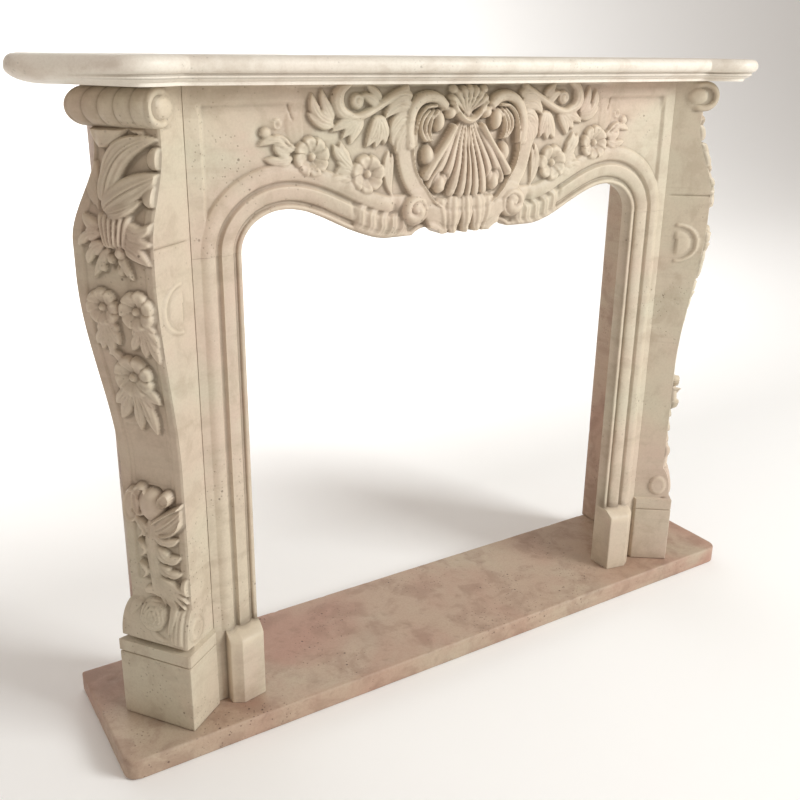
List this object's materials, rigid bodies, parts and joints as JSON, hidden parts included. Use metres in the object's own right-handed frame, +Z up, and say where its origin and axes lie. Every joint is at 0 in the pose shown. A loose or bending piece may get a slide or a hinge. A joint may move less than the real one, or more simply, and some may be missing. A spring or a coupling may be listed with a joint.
{
  "type": "fireplace mantel",
  "caption": "Carved stone mantel with a shaped arch, shell and flower frieze, canted console legs, a serpentine shelf and a hearth slab.",
  "frame": {"origin": "middle of the bounding box's underside, on the floor", "axes": "+X along the wall to the right, +Y into the wall, +Z up, so the carved front faces -Y"},
  "size_m": [1.4624, 0.316, 1.13],
  "materials": {
    "cream_stone": "honed cream limestone with tan mottling and small pits",
    "pale_stone": "smooth pale cream limestone",
    "rosy_stone": "honed limestone with rosy brown patches"
  },
  "bodies": {
    "root": {"hearth_slab": "rosy_stone", "left_leg_plinth": "cream_stone", "right_leg_plinth": "cream_stone", "left_leg": "cream_stone", "right_leg": "cream_stone", "left_jamb": "cream_stone", "right_jamb": "cream_stone", "left_return": "rosy_stone", "right_return": "rosy_stone", "frieze": "cream_stone", "mantel_shelf": "pale_stone"}
  },
  "joints": []
}
